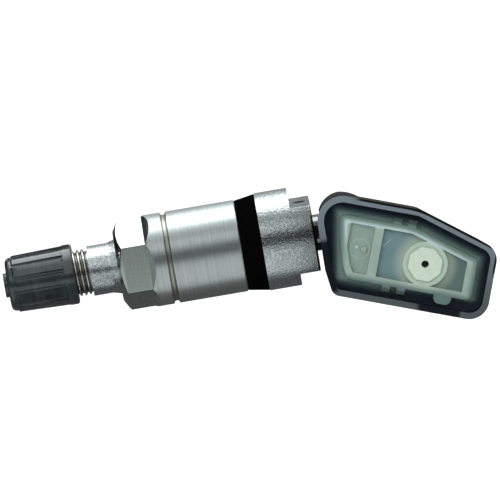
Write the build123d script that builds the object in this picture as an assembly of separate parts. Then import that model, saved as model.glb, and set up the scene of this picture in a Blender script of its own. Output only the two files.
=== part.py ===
from build123d import *
import math
import os

# Clamp-in tyre pressure sensor. Millimetres.
# The origin is on the valve axis where the nut's collar meets the rubber grommet, which is the rim's seat.
# +X runs along the valve towards the sensor, the cap is at -X, +Z is up and the potted face looks along -Y.

# Fits
running_clearance = 0.05
thread_clearance = 0.05
press_clearance = 0.02
loose_clearance = 0.3

# Valve stem
cap_thread_diameter = 7.7
cap_thread_length = 11.3
neck_diameter = 8.25
neck_length = 3.2
nut_thread_diameter = 10.0
neck_taper_length = 3.0
nut_thread_length = 18.9
flange_diameter = 16.2
flange_length = 5.4
flats_across = 11.0
flats_turn_deg = 3.0
flats_length = 3.4
base_chamfer = 0.35
tip_chamfer = 0.5
core_bore_diameter = 5.3
core_bore_length = 6.0
core_seat_length = 1.2
valve_bore_diameter = 4.2
valve_bore_length = 9.0
air_passage_diameter = 3.0
air_outlet_diameter = 2.0

# Rubber grommet
grommet_length = 3.4
grommet_small_diameter = 14.9
grommet_large_diameter = 16.0
grommet_neck_diameter = 11.3
grommet_neck_length = 2.5

# Nut
nut_length = 20.5
collar_diameter = 15.2
hex_across_flats = 13.0
hex_length = 5.0
hex_turn_deg = 3.2
hex_chamfer_deg = 30.0
hex_end_setback = 0.45
nut_mouth_chamfer = 0.5
nut_edge_chamfer = 0.2
groove_offset = 11.4
groove_width = 1.0
groove_depth = 0.45
grommet_recess_depth = 3.2

# Valve cap
cap_length = 11.2
cap_rib_diameter = 9.75
cap_rib_end_diameter = 9.3
cap_root_diameter = 8.8
cap_flange_diameter = 9.95
cap_flange_length = 1.7
cap_flange_chamfer = 0.25
cap_end_radius = 0.8
cap_end_length = 1.0
cap_wall_end = 1.4
cap_disc_diameter = 4.0
cap_disc_height = 0.6
cap_rib_count = 12
cap_groove_width = 0.7
cap_seal_thickness = 1.0
cap_seal_hole_diameter = 3.2

# Valve core
core_recess = 0.5
core_head_length = 4.6
core_head_flats = 3.2
core_head_flat_length = 2.0
core_barrel_diameter = 3.8
core_barrel_length = 5.8
core_hollow_diameter = 2.7
core_ledge_length = 0.8
core_ledge_hole_diameter = 1.7
core_pin_diameter = 1.2
core_pin_button_diameter = 2.0
core_pin_button_length = 0.4
core_pin_collar_length = 0.5
core_cup_diameter = 3.5
core_cup_length = 1.6
core_cup_lip = 0.2
core_seal_length = 0.6
spring_wire_diameter = 0.3
spring_turns = 6
spring_play = 0.1

# Ball joint
ball_diameter = 8.0
ball_cheek_width = 6.4
ball_offset = 4.2
ball_neck_diameter = 6.0
stud_thread_diameter = 5.0
stud_thread_length = 4.3
stud_undercut_diameter = 3.8
stud_length = 7.3
stud_bore_diameter = 1.6
tilt_up_deg = 12.0
tilt_gap = 1.3
socket_wall = 2.1
socket_shoulder_place = (0.6, 1.9)
socket_shoulder_radius = 4.45
socket_bore_diameter = 8.5
sleeve_wall = 1.0
retainer_wall = 1.0
retainer_gap = 0.9

# Sensor housing, seen along +Y with the ball's centre at 0, 0 and its long edge level
body_angle_deg = 20.0
body_right = 25.82
body_top = 6.1
body_bottom = -10.2
body_slant_start = 12.08
body_slant_deg = 17.0
body_left_top = -5.93
body_left_foot = (-1.48, -6.45)
body_bottom_left = 0.52
corner_top_left = 4.1
corner_slant = 2.5
corner_top_right = 3.0
corner_bottom_right = 3.3
corner_small = 1.6
rim_width = 1.05
wall_draft_deg = 3.0
back_edge_radius = 1.0
back_wall = 1.1

# Depths of the potted pieces
potting_drop = 0.4
carrier_drop = 0.3
boss_clearance = 0.5
carrier_depth = 1.7
carrier_floor = 0.5
board_gap = 1.3
board_thickness = 0.8
cell_gap = 0.4

# Carrier frame
carrier_margin = 3.0
carrier_left = -0.78
carrier_left_slope = 1.9
carrier_corner = 1.0
carrier_rib = 1.15
compartment_left = 1.32
compartment_right = 5.32
window_left = 6.82
window_margin = 4.7
carrier_tab_left = 16.72
carrier_tab_width = 2.9
carrier_tab_length = 1.4
carrier_tab_radius = 0.95
clip_tab_width = 1.4
clip_tab_length = 1.0
clip_tab_places = (8.77, 11.27)
pip_place = (4.12, -2.04)
pip_diameter = 1.0
pip_height = 0.5

# Pressure port
port_place = (14.42, -2.58)
port_ring_diameter = 7.4
port_ring_wall = 0.7
port_boss_sides = 8
port_boss_across = 5.45
port_boss_proud = 0.15
port_diameter = 1.2
port_spigot_diameter = 2.8
filter_diameter = 2.0
filter_thickness = 0.2

# Electronics
board_margin = 2.2
chip_size = 3.0
chip_height = 0.9
crystal_size = (2.5, 2.0, 0.8)
capacitor_size = (1.0, 0.5, 0.5)
capacitor_count = 4
capacitor_pitch = 1.4
capacitor_place = (8.42, -4.38)
coil_width = 3.5
coil_depth = 2.4
coil_inset = 0.9
coil_end_inset = 0.3
coil_clearance = 0.5
coil_flange = 0.7
coil_winding_step = 0.3
antenna_thickness = 0.3
antenna_height = 1.0
antenna_inset = 0.4
cell_length = 10.8
cell_clearance = 0.15
cell_boss_gap = 1.4
cell_edge_radius = 0.6
cell_step = 0.4
cell_pole_inset = 1.2
tab_width = 3.0
tab_thickness = 0.2

# Places along the valve axis
flange_start = grommet_length
flats_start = flange_start + flange_length
base_end = flats_start + flats_length
ball_x = base_end + ball_offset
outlet_x = (flats_start + base_end) / 2
nut_start = -nut_length
neck_taper_end = -nut_thread_length
neck_taper_start = neck_taper_end - neck_taper_length
neck_start = neck_taper_start - neck_length
stem_tip = neck_start - cap_thread_length
cap_inner_end = stem_tip - cap_seal_thickness
cap_end = cap_inner_end - cap_wall_end
cap_open = cap_end + cap_length
core_top = stem_tip + core_recess
core_head_end = core_top + core_head_length
core_barrel_end = core_head_end + core_barrel_length
core_seat_start = stem_tip + core_bore_length
core_seat_end = core_seat_start + core_seat_length
valve_bore_end = core_seat_end + valve_bore_length
core_ledge_start = core_barrel_end - core_ledge_length
spring_length = core_barrel_length - core_ledge_length - spring_play
pin_collar_end = core_ledge_start - spring_length - spring_play
stud_hole_start = base_end - stud_length - loose_clearance
sleeve_length = ball_diameter / 2 + retainer_wall

# Depths along Y, with the potted face at the most negative
boss_radius = ball_diameter / 2 + socket_wall
rim_y = -(boss_radius + boss_clearance + carrier_depth + carrier_drop + potting_drop)
potting_y = rim_y + potting_drop
carrier_front = potting_y + carrier_drop
carrier_back = carrier_front + carrier_depth
board_front = carrier_back + board_gap
board_back = board_front + board_thickness
cell_front = board_back + cell_gap
cell_back = cell_front + cell_length
floor_y = cell_back + tab_thickness
housing_back = floor_y + back_wall

# The board's edges, with the coil along its right edge
slant = math.radians(body_slant_deg)
slant_height = body_top + body_slant_start * math.tan(slant)
board_left = boss_radius + boss_clearance
board_right = body_right - board_margin
board_bottom = body_bottom + board_margin
board_corner_z = slant_height - board_margin / math.cos(slant) - board_right * math.tan(slant)
coil_right = board_right - coil_inset
coil_left = coil_right - coil_width
coil_bottom = board_bottom + coil_end_inset
coil_top = board_corner_z - coil_end_inset

# The room at the cup's floor, and the largest cell that fits in it beside the boss and the coil
floor_inset = rim_width + (floor_y - rim_y) * math.tan(math.radians(wall_draft_deg))
room_left = boss_radius + cell_boss_gap
room_width = coil_left - coil_clearance - tab_thickness - room_left
room_bottom = body_bottom + floor_inset + cell_clearance
room_height = slant_height - floor_inset / math.cos(slant) - room_left * math.tan(slant) - room_bottom
slant_radius = (room_height * math.cos(slant) - cell_clearance) / (1 + math.cos(slant) + math.sin(slant))
cell_radius = min(slant_radius, room_width / 2)
cell_place = (room_left + cell_radius, room_bottom + cell_radius)

# The sensor body's place: tilted about the ball's centre
body_place = Pos(ball_x, 0, 0) * Rot(0, body_angle_deg, 0)


def turned(*points):
    """A solid of revolution about the valve axis from points of (x, radius)."""
    outline = Plane.XZ * make_face(Polyline(*points, close=True))
    return revolve(outline, Axis.X)


def rod(start, end, diameter):
    """A round bar along the valve axis."""
    radius = diameter / 2
    return turned((start, 0), (end, 0), (end, radius), (start, radius))


def slab(face, front, back, draft=0.0):
    """A face seen along +Y, made solid from one depth to another and narrowed to the back by a draft."""
    return extrude(Plane.XZ.offset(-front) * face, amount=front - back, taper=draft)


def block(place, size, front, back):
    """A rectangular block centred on a place in the potted face's plane."""
    return slab(Pos(*place) * Rectangle(*size), front, back)


def disc(place, diameter, front, back):
    """A round block centred on a place in the potted face's plane."""
    return slab(Pos(*place) * Circle(diameter / 2), front, back)


# Valve stem with its bores, spanner flats and air outlet
def make_valve_stem():
    thread = cap_thread_diameter / 2
    neck = neck_diameter / 2
    shank = nut_thread_diameter / 2
    flange = flange_diameter / 2
    outside = turned(
        (stem_tip, 0),
        (stem_tip, thread - tip_chamfer),
        (stem_tip + tip_chamfer, thread),
        (neck_start, thread),
        (neck_start, neck),
        (neck_taper_start, neck),
        (neck_taper_end, shank),
        (flange_start, shank),
        (flange_start, flange),
        (base_end - base_chamfer, flange),
        (base_end, flange - base_chamfer),
        (base_end, 0),
    )
    inside = turned(
        (stem_tip, 0),
        (stem_tip, core_bore_diameter / 2),
        (core_seat_start, core_bore_diameter / 2),
        (core_seat_end, valve_bore_diameter / 2),
        (valve_bore_end, valve_bore_diameter / 2),
        (valve_bore_end, air_passage_diameter / 2),
        (stud_hole_start, air_passage_diameter / 2),
        (stud_hole_start, stud_thread_diameter / 2 + thread_clearance),
        (base_end, stud_thread_diameter / 2 + thread_clearance),
        (base_end, 0),
    )
    waste = Box(flats_length, flange_diameter, flange_diameter)
    turn = Rot(flats_turn_deg, 0, 0)
    for side in (1, -1):
        outside -= turn * Pos(outlet_x, 0, side * (flats_across + flange_diameter) / 2) * waste
    outlet = turn * Pos(outlet_x, 0, 0) * Cylinder(air_outlet_diameter / 2, flange_diameter)
    return outside - inside - outlet


def make_rim_grommet():
    bore = nut_thread_diameter / 2 + press_clearance
    neck = grommet_neck_diameter / 2
    return turned(
        (-grommet_neck_length, bore),
        (-grommet_neck_length, neck),
        (0, neck),
        (0, grommet_small_diameter / 2),
        (grommet_length, grommet_large_diameter / 2),
        (grommet_length, bore),
    )


# Nut milled from round bar: each flat runs out in a ramp up to the collar
def make_hex_nut():
    collar = collar_diameter / 2
    face = hex_across_flats / 2
    end_slope = math.tan(math.radians(hex_chamfer_deg))
    groove_x = nut_start + nut_length - groove_offset - groove_width
    slope = groove_width / 4
    bar = turned(
        (nut_start, 0),
        (nut_start, face - hex_end_setback / end_slope),
        (nut_start + hex_end_setback + (collar - face) * end_slope, collar),
        (groove_x, collar),
        (groove_x + slope, collar - groove_depth),
        (groove_x + groove_width - slope, collar - groove_depth),
        (groove_x + groove_width, collar),
        (-nut_edge_chamfer, collar),
        (0, collar - nut_edge_chamfer),
        (0, 0),
    )
    ramp_end = nut_start + hex_length + collar
    across = Plane.YZ * (Rot(0, 0, 90 + hex_turn_deg) * RegularPolygon(face, 6, major_radius=False))
    wide = Plane.YZ * (Rot(0, 0, 90 + hex_turn_deg) * RegularPolygon(face + collar, 6, major_radius=False))
    prism = extrude(Pos(nut_start, 0, 0) * across, amount=hex_length)
    ramps = loft([Pos(nut_start + hex_length, 0, 0) * across, Pos(ramp_end, 0, 0) * wide], ruled=True)
    behind = rod(ramp_end, collar, 4 * collar)
    thread = nut_thread_diameter / 2 + thread_clearance
    recess = grommet_neck_diameter / 2 + loose_clearance
    bore = turned(
        (nut_start, 0),
        (nut_start, thread + nut_mouth_chamfer),
        (nut_start + nut_mouth_chamfer, thread),
        (-grommet_recess_depth, thread),
        (-grommet_recess_depth, recess),
        (0, recess),
        (0, 0),
    )
    return bar & (prism + ramps + behind) - bore


# Cap with grooves between its ribs, a plain flange and a small disc on its end
def make_valve_cap():
    rib = cap_rib_diameter / 2
    rib_end = cap_rib_end_diameter / 2
    root = cap_root_diameter / 2
    flange = cap_flange_diameter / 2
    bore = cap_thread_diameter / 2 + 2 * thread_clearance
    rib_start = cap_end + cap_end_length
    flange_start_x = cap_open - cap_flange_length
    body = turned(
        (cap_end, 0),
        (cap_end, root),
        (rib_start, root),
        (rib_start + rib_end - root, rib_end),
        (flange_start_x, rib),
        (flange_start_x + cap_flange_chamfer, flange),
        (cap_open - cap_flange_chamfer, flange),
        (cap_open, flange - cap_flange_chamfer),
        (cap_open, bore),
        (cap_inner_end, bore),
        (cap_inner_end, 0),
    )
    corner = body.edges().filter_by(GeomType.CIRCLE).group_by(Axis.X)[0]
    body = fillet(corner, cap_end_radius)
    groove_length = flange_start_x - cap_end
    groove = Pos((cap_end + flange_start_x) / 2, 0, root + cap_groove_width / 2) * Rot(0, 90, 0)
    groove = groove * Cylinder(cap_groove_width / 2, groove_length)
    for index in range(cap_rib_count):
        body -= Rot(360 * (index + 0.5) / cap_rib_count, 0, 0) * groove
    return body + rod(cap_end - cap_disc_height, cap_end, cap_disc_diameter)


def make_cap_seal():
    outer = cap_thread_diameter / 2
    hole = cap_seal_hole_diameter / 2
    return turned((cap_inner_end, hole), (cap_inner_end, outer), (stem_tip, outer), (stem_tip, hole))


# Valve core: threaded head and barrel in one, with two flats for the core key
def make_core_housing():
    head = core_bore_diameter / 2 - thread_clearance
    barrel = core_barrel_diameter / 2
    hollow = core_hollow_diameter / 2
    ledge = core_ledge_hole_diameter / 2
    body = turned(
        (core_top, hollow),
        (core_top, head),
        (core_head_end, head),
        (core_head_end, barrel),
        (core_barrel_end, barrel),
        (core_barrel_end, ledge),
        (core_ledge_start, ledge),
        (core_ledge_start, hollow),
    )
    for side in (1, -1):
        middle = side * (core_head_flats / 2 + head)
        flat = Box(core_head_flat_length, 2 * head, 4 * head)
        body -= Pos(core_top + core_head_flat_length / 2, middle, 0) * flat
    return body


def make_core_gasket():
    inner = core_barrel_diameter / 2 + press_clearance
    wide = core_bore_diameter / 2 - 2 * thread_clearance
    narrow = valve_bore_diameter / 2 - press_clearance
    return turned(
        (core_head_end, inner),
        (core_head_end, wide),
        (core_seat_start, wide),
        (core_seat_end, narrow),
        (core_seat_end, inner),
    )


def make_core_pin():
    pin = core_pin_diameter / 2
    button = core_pin_button_diameter / 2
    collar = core_hollow_diameter / 2 - 2 * thread_clearance
    collar_start = pin_collar_end - core_pin_collar_length
    return turned(
        (core_top, 0),
        (core_top, button),
        (core_top + core_pin_button_length, button),
        (core_top + core_pin_button_length, pin),
        (collar_start, pin),
        (collar_start, collar),
        (pin_collar_end, collar),
        (pin_collar_end, pin),
        (core_barrel_end + core_cup_length, pin),
        (core_barrel_end + core_cup_length, 0),
    )


def make_core_spring():
    wire = spring_wire_diameter / 2
    coil = (core_pin_diameter / 2 + core_hollow_diameter / 2) / 2
    height = spring_length - spring_wire_diameter
    path = Helix(height / spring_turns, height, coil)
    section = Plane(path @ 0, z_dir=path % 0) * Circle(wire)
    wound = sweep(section, path, is_frenet=True)
    return Pos(pin_collar_end + spring_play / 2 + wire, 0, 0) * Rot(0, 90, 0) * wound


def make_core_seat_seal():
    outer = core_cup_diameter / 2 - core_cup_lip
    inner = core_pin_diameter / 2 + press_clearance
    end = core_barrel_end + core_seal_length
    return turned((core_barrel_end, inner), (core_barrel_end, outer), (end, outer), (end, inner))


def make_core_cup():
    outer = core_cup_diameter / 2
    seal = outer - core_cup_lip + press_clearance
    inner = core_pin_diameter / 2 + press_clearance
    lip = core_barrel_end + core_seal_length / 2
    seat = core_barrel_end + core_seal_length
    end = core_barrel_end + core_cup_length
    return turned((seat, inner), (seat, seal), (lip, seal), (lip, outer), (end, outer), (end, inner))


# Ball stud: hollow screw, round neck and a ball with two flat cheeks, so that it only tilts
def make_ball_stud():
    thread = stud_thread_diameter / 2
    undercut = stud_undercut_diameter / 2
    neck = ball_neck_diameter / 2
    bore = stud_bore_diameter / 2
    start = base_end - stud_length
    thread_end = start + stud_thread_length
    shank = turned(
        (start, 0),
        (start, thread),
        (thread_end, thread),
        (thread_end, undercut),
        (base_end - base_chamfer, undercut),
        (base_end - base_chamfer, thread),
        (base_end, thread),
        (base_end, neck),
        (ball_x, neck),
        (ball_x, 0),
    )
    cheeks = Box(ball_diameter, ball_cheek_width, ball_diameter)
    ball = Pos(ball_x, 0, 0) * (Sphere(ball_diameter / 2) & cheeks)
    outlet = Rot(flats_turn_deg, 0, 0) * Pos(outlet_x, 0, 0) * Cylinder(bore, ball_diameter)
    return shank + ball - rod(start, outlet_x, stud_bore_diameter) - outlet


def body_corners():
    """The corners of the rim's outline in the potted face's plane, each with its radius."""
    return (
        ((body_left_top, body_top), corner_top_left),
        ((body_slant_start, body_top), corner_slant),
        ((body_right, slant_height - body_right * math.tan(slant)), corner_top_right),
        ((body_right, body_bottom), corner_bottom_right),
        ((body_bottom_left, body_bottom), corner_small),
        (body_left_foot, corner_small),
    )


def body_plan(inset):
    """The rim's outline with sharp corners, or one that lies inside it by an even inset."""
    plan = make_face(Polyline(*[corner for corner, radius in body_corners()], close=True))
    if inset:
        plan = offset(plan, amount=-inset, kind=Kind.INTERSECTION)
    return plan


def drafted_body(inset, back):
    """The cup's outside or, with an inset, its inside: drafted walls with rounded upright edges."""
    body = slab(body_plan(inset), rim_y, back, wall_draft_deg)
    for corner, radius in body_corners():
        place = Vector(corner[0], rim_y, corner[1])
        upright = [edge for edge in body.edges() if abs((edge @ 0).Y - (edge @ 1).Y) > (back - rim_y) / 2]
        nearest = min(upright, key=lambda edge: edge.distance_to(place))
        if radius > inset:
            body = fillet(nearest, radius - inset)
    return body_place * body


def ball_zone(radius, start, end):
    """The stretch of a ball about the joint's centre that lies between two places on the valve axis."""
    middle = (start + end) / 2
    section = Pos(ball_x, 0) * Circle(radius) & Pos(middle, radius) * Rectangle(end - start, 2 * radius)
    return revolve(Plane.XZ * section, Axis.X)


def socket_boss(cup):
    """The ball's socket: a round boss with a rounded shoulder, and its sleeve inside the cup."""
    shell = ball_zone(boss_radius, base_end + tilt_gap, ball_x + boss_radius)
    sleeve = body_place * rod(0, sleeve_length, socket_bore_diameter + 2 * sleeve_wall)
    x, z = socket_shoulder_place
    corner = Pos(x - boss_radius, z + boss_radius) * Rectangle(2 * boss_radius, 2 * boss_radius)
    waste = corner - Pos(x, z) * Circle(socket_shoulder_radius)
    return shell - body_place * slab(waste, -boss_radius, boss_radius) + (sleeve & cup)


def socket_hollow():
    """What the ball, its neck and the retainer need clear inside the boss."""
    seat = ball_diameter / 2 + running_clearance
    cheeks = ball_cheek_width + 2 * running_clearance
    neck = ball_neck_diameter / 2
    neck_angle = math.degrees(math.asin(neck / (ball_diameter / 2))) + tilt_up_deg
    edge = seat * math.sin(math.radians(neck_angle)) + running_clearance
    edge_x = ball_x - seat * math.cos(math.radians(neck_angle))
    mouth = edge + (edge_x - base_end) * math.tan(math.radians(tilt_up_deg))
    ball = Pos(ball_x, 0, 0) * (Sphere(seat) & Box(2 * seat, cheeks, 2 * seat))
    throat = turned((base_end, 0), (base_end, mouth), (edge_x, edge), (ball_x, edge), (ball_x, 0))
    return ball + throat + body_place * rod(0, boss_radius, socket_bore_diameter)


# Housing: a drafted cup with a socket for the ball
def make_sensor_housing():
    cup = drafted_body(0, housing_back)
    back_edges = cup.faces().sort_by(Axis.Y)[-1].edges()
    cup = fillet(back_edges, back_edge_radius)
    return cup - drafted_body(rim_width, floor_y) + socket_boss(cup) - socket_hollow()


def make_ball_retainer():
    radius = socket_bore_diameter / 2 - press_clearance
    corners = ((retainer_gap, 0), (sleeve_length, 0), (sleeve_length, radius), (retainer_gap, radius))
    section = make_face(Polyline(*corners, close=True)) - Circle(ball_diameter / 2 + running_clearance)
    return body_place * revolve(Plane.XZ * section, Axis.X)


def carrier_plan():
    """The carrier's sharp-cornered outline without tabs: an even margin, and a left edge of its own."""
    top = body_top - carrier_margin
    bottom = body_bottom + carrier_margin
    left = ((carrier_left, top), (carrier_left + carrier_left_slope, bottom))
    right = ((body_right, bottom), (body_right, top))
    return body_plan(carrier_margin) & make_face(Polyline(*left, *right, close=True))


def carrier_outline():
    """The carrier's outer outline with its large tab and its clip tabs."""
    outline = carrier_plan()
    outline = fillet(outline.vertices(), carrier_corner)
    tab = RectangleRounded(carrier_tab_width, 2 * carrier_tab_length, carrier_tab_radius)
    outline += Pos(carrier_tab_left + carrier_tab_width / 2, body_bottom + carrier_margin) * tab
    for place in clip_tab_places:
        for edge in (body_top - carrier_margin, body_bottom + carrier_margin):
            outline += Pos(place, edge) * Rectangle(clip_tab_width, 2 * clip_tab_length)
    return outline


def carrier_inside(left, right):
    """The carrier's plan inside its frame rib, between two upright lines."""
    plan = offset(carrier_plan(), amount=-carrier_rib, kind=Kind.INTERSECTION)
    height = 2 * (body_top - body_bottom)
    return plan & Pos((left + right) / 2, 0) * Rectangle(right - left, height)


# Carrier: frame, ribs, one floored compartment, two windows and the port's ring
def make_carrier_frame():
    body = slab(carrier_outline(), carrier_front, carrier_back)
    floor = carrier_back - carrier_floor
    body -= slab(carrier_inside(compartment_left, compartment_right), carrier_front, floor)
    ring = disc(port_place, port_ring_diameter, carrier_front, carrier_back)
    body -= slab(carrier_inside(window_left, body_right - window_margin), carrier_front, carrier_back) - ring
    body -= disc(port_place, port_ring_diameter - 2 * port_ring_wall, carrier_front, carrier_back)
    return body_place * (body + disc(pip_place, pip_diameter, floor - pip_height, floor))


# White eight-sided boss: its spigot stands on the pressure chip
def make_port_boss():
    front = potting_y - port_boss_proud
    flange = RegularPolygon(port_boss_across / 2, port_boss_sides, major_radius=False)
    body = slab(Pos(*port_place) * Rot(0, 0, 180 / port_boss_sides) * flange, front, carrier_back)
    body += disc(port_place, port_spigot_diameter, carrier_back, board_front - chip_height)
    body -= disc(port_place, port_diameter, front, board_front)
    pocket = board_front - chip_height - filter_thickness
    body -= disc(port_place, filter_diameter + 2 * press_clearance, pocket, board_front)
    return body_place * body


def make_port_filter():
    pocket = board_front - chip_height - filter_thickness
    return body_place * disc(port_place, filter_diameter, pocket, pocket + filter_thickness)


def make_pressure_chip():
    return body_place * block(port_place, (chip_size, chip_size), board_front - chip_height, board_front)


def make_circuit_board():
    height = 2 * (body_top - body_bottom)
    right_part = Pos((board_left + body_right) / 2, 0) * Rectangle(body_right - board_left, height)
    return body_place * slab(body_plan(board_margin) & right_part, board_front, board_back)


def make_crystal():
    length, width, height = crystal_size
    place = ((port_place[0] + chip_size / 2 + board_right) / 2, port_place[1])
    return body_place * block(place, (length, width), board_front - height, board_front)


def make_capacitors():
    length, width, height = capacitor_size
    row = []
    for index in range(capacitor_count):
        place = (capacitor_place[0], capacitor_place[1] + index * capacitor_pitch)
        row.append(body_place * block(place, (length, width), board_front - height, board_front))
    return Compound(children=row)


# Low-frequency coil: a wound bobbin under the board
def make_lf_coil():
    place = ((coil_left + coil_right) / 2, (coil_bottom + coil_top) / 2)
    height = coil_top - coil_bottom
    winding = height - 2 * coil_flange
    back = board_back + coil_depth
    body = block(place, (coil_width, height), board_back, back)
    space = block(place, (coil_width, winding), board_back, back)
    wound = (coil_width - 2 * coil_winding_step, winding)
    core = block(place, wound, board_back, back - coil_winding_step)
    return body_place * (body - space + core)


# Aerial: a bent strip that stands on the board along two edges
def make_antenna():
    x = board_right - antenna_inset
    z = board_bottom + antenna_inset
    front = board_front - antenna_height
    foot_end = port_place[0]
    top = board_corner_z - antenna_inset
    upright = Pos(x, (z + top) / 2) * Rectangle(antenna_thickness, top - z)
    foot = Pos((x + foot_end) / 2, z) * Rectangle(x - foot_end + antenna_thickness, antenna_thickness)
    return body_place * slab(upright + foot, front, board_front)


def make_battery_cell():
    can = disc(cell_place, 2 * cell_radius, cell_front + cell_step, cell_back)
    can = fillet(can.faces().sort_by(Axis.Y)[0].edges(), cell_edge_radius)
    pole = disc(cell_place, 2 * (cell_radius - cell_pole_inset), cell_front, cell_front + cell_step)
    return body_place * (can + pole)


def make_battery_tab_negative():
    x, z = cell_place
    strip = block((x - cell_radius / 2, z), (cell_radius, tab_width), cell_front - tab_thickness, cell_front)
    leg = block((x - cell_radius + tab_thickness, z), (2 * tab_thickness, tab_width), board_back, cell_front)
    return body_place * (strip + leg)


def make_battery_tab_positive():
    x, z = cell_place
    side = x + cell_radius
    strip = block((side + tab_thickness - cell_radius / 2, z), (cell_radius, tab_width), cell_back, floor_y)
    leg = block((side + tab_thickness / 2, z), (tab_thickness, tab_width), board_back, floor_y)
    return body_place * (strip + leg)


# Resin: what is left of the cup below its surface
def make_potting(embedded):
    fill = drafted_body(rim_width, floor_y)
    above = body_place * slab(Rectangle(4 * body_right, 4 * body_right), 2 * rim_y, potting_y)
    fill = fill - above - socket_boss(drafted_body(0, housing_back))
    for piece in embedded:
        for solid in piece.solids():
            fill = fill - solid
    return max(fill.solids(), key=lambda solid: solid.volume)


def main():
    os.makedirs("parts", exist_ok=True)
    housing = make_sensor_housing()
    embedded = {
        "ball_retainer": make_ball_retainer(),
        "carrier_frame": make_carrier_frame(),
        "port_boss": make_port_boss(),
        "port_filter": make_port_filter(),
        "pressure_chip": make_pressure_chip(),
        "circuit_board": make_circuit_board(),
        "crystal": make_crystal(),
        "capacitors": make_capacitors(),
        "lf_coil": make_lf_coil(),
        "antenna": make_antenna(),
        "battery_cell": make_battery_cell(),
        "battery_tab_negative": make_battery_tab_negative(),
        "battery_tab_positive": make_battery_tab_positive(),
    }
    pieces = {
        "valve_stem": make_valve_stem(),
        "rim_grommet": make_rim_grommet(),
        "hex_nut": make_hex_nut(),
        "valve_cap": make_valve_cap(),
        "cap_seal": make_cap_seal(),
        "core_housing": make_core_housing(),
        "core_gasket": make_core_gasket(),
        "core_pin": make_core_pin(),
        "core_spring": make_core_spring(),
        "core_cup": make_core_cup(),
        "core_seat_seal": make_core_seat_seal(),
        "ball_stud": make_ball_stud(),
        "sensor_housing": housing,
        "potting": make_potting(embedded.values()),
    }
    pieces.update(embedded)
    for name, piece in pieces.items():
        export_step(piece, os.path.join("parts", name + ".step"))


main()
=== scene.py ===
"""Clamp-in tyre pressure sensor: visual shapes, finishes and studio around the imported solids."""

from __future__ import annotations

import logging
import math
from collections.abc import Callable, Iterable
from dataclasses import dataclass
from enum import Enum

import bmesh
import bpy
from mathutils import Matrix, Quaternion, Vector

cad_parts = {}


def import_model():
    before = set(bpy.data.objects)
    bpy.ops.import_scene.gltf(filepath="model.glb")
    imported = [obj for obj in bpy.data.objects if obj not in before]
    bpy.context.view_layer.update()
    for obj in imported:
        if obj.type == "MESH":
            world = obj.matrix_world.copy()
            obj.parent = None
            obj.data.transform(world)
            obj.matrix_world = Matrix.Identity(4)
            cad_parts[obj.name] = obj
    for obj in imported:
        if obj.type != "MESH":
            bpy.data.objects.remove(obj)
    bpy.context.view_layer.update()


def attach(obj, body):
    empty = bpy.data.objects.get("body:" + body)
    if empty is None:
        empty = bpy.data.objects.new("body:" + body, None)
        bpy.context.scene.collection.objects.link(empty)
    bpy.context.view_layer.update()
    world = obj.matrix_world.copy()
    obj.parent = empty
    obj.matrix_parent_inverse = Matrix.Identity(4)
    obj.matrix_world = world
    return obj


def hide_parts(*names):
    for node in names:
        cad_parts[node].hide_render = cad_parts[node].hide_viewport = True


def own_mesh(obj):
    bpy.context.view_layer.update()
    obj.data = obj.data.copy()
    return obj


LOG = logging.getLogger("pressure_sensor")
MM = 0.001
SOFT = 0.1 * MM  # Width of a soft border between two colours of metal
Mesh = bmesh.types.BMesh
Object = bpy.types.Object
Socket = bpy.types.NodeSocket
Tree = bpy.types.NodeTree
Pair = tuple[float, float]
Triple = tuple[float, float, float]
Colour = Triple
Colours = tuple[Colour, Colour]
Value = Socket | float | Triple
Inputs = dict[str | int, Value]


class Body(Enum):
    """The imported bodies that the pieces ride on."""

    STEM = "stem assembly"
    CAP = "cap shell"
    NUT = "clamp nut"
    SENSOR = "sensor body"


class Effect(Enum):
    """The shared shader node groups."""

    GRAIN = "grain"
    TURNING = "turning lines"
    PLACE = "sensor place"


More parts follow.
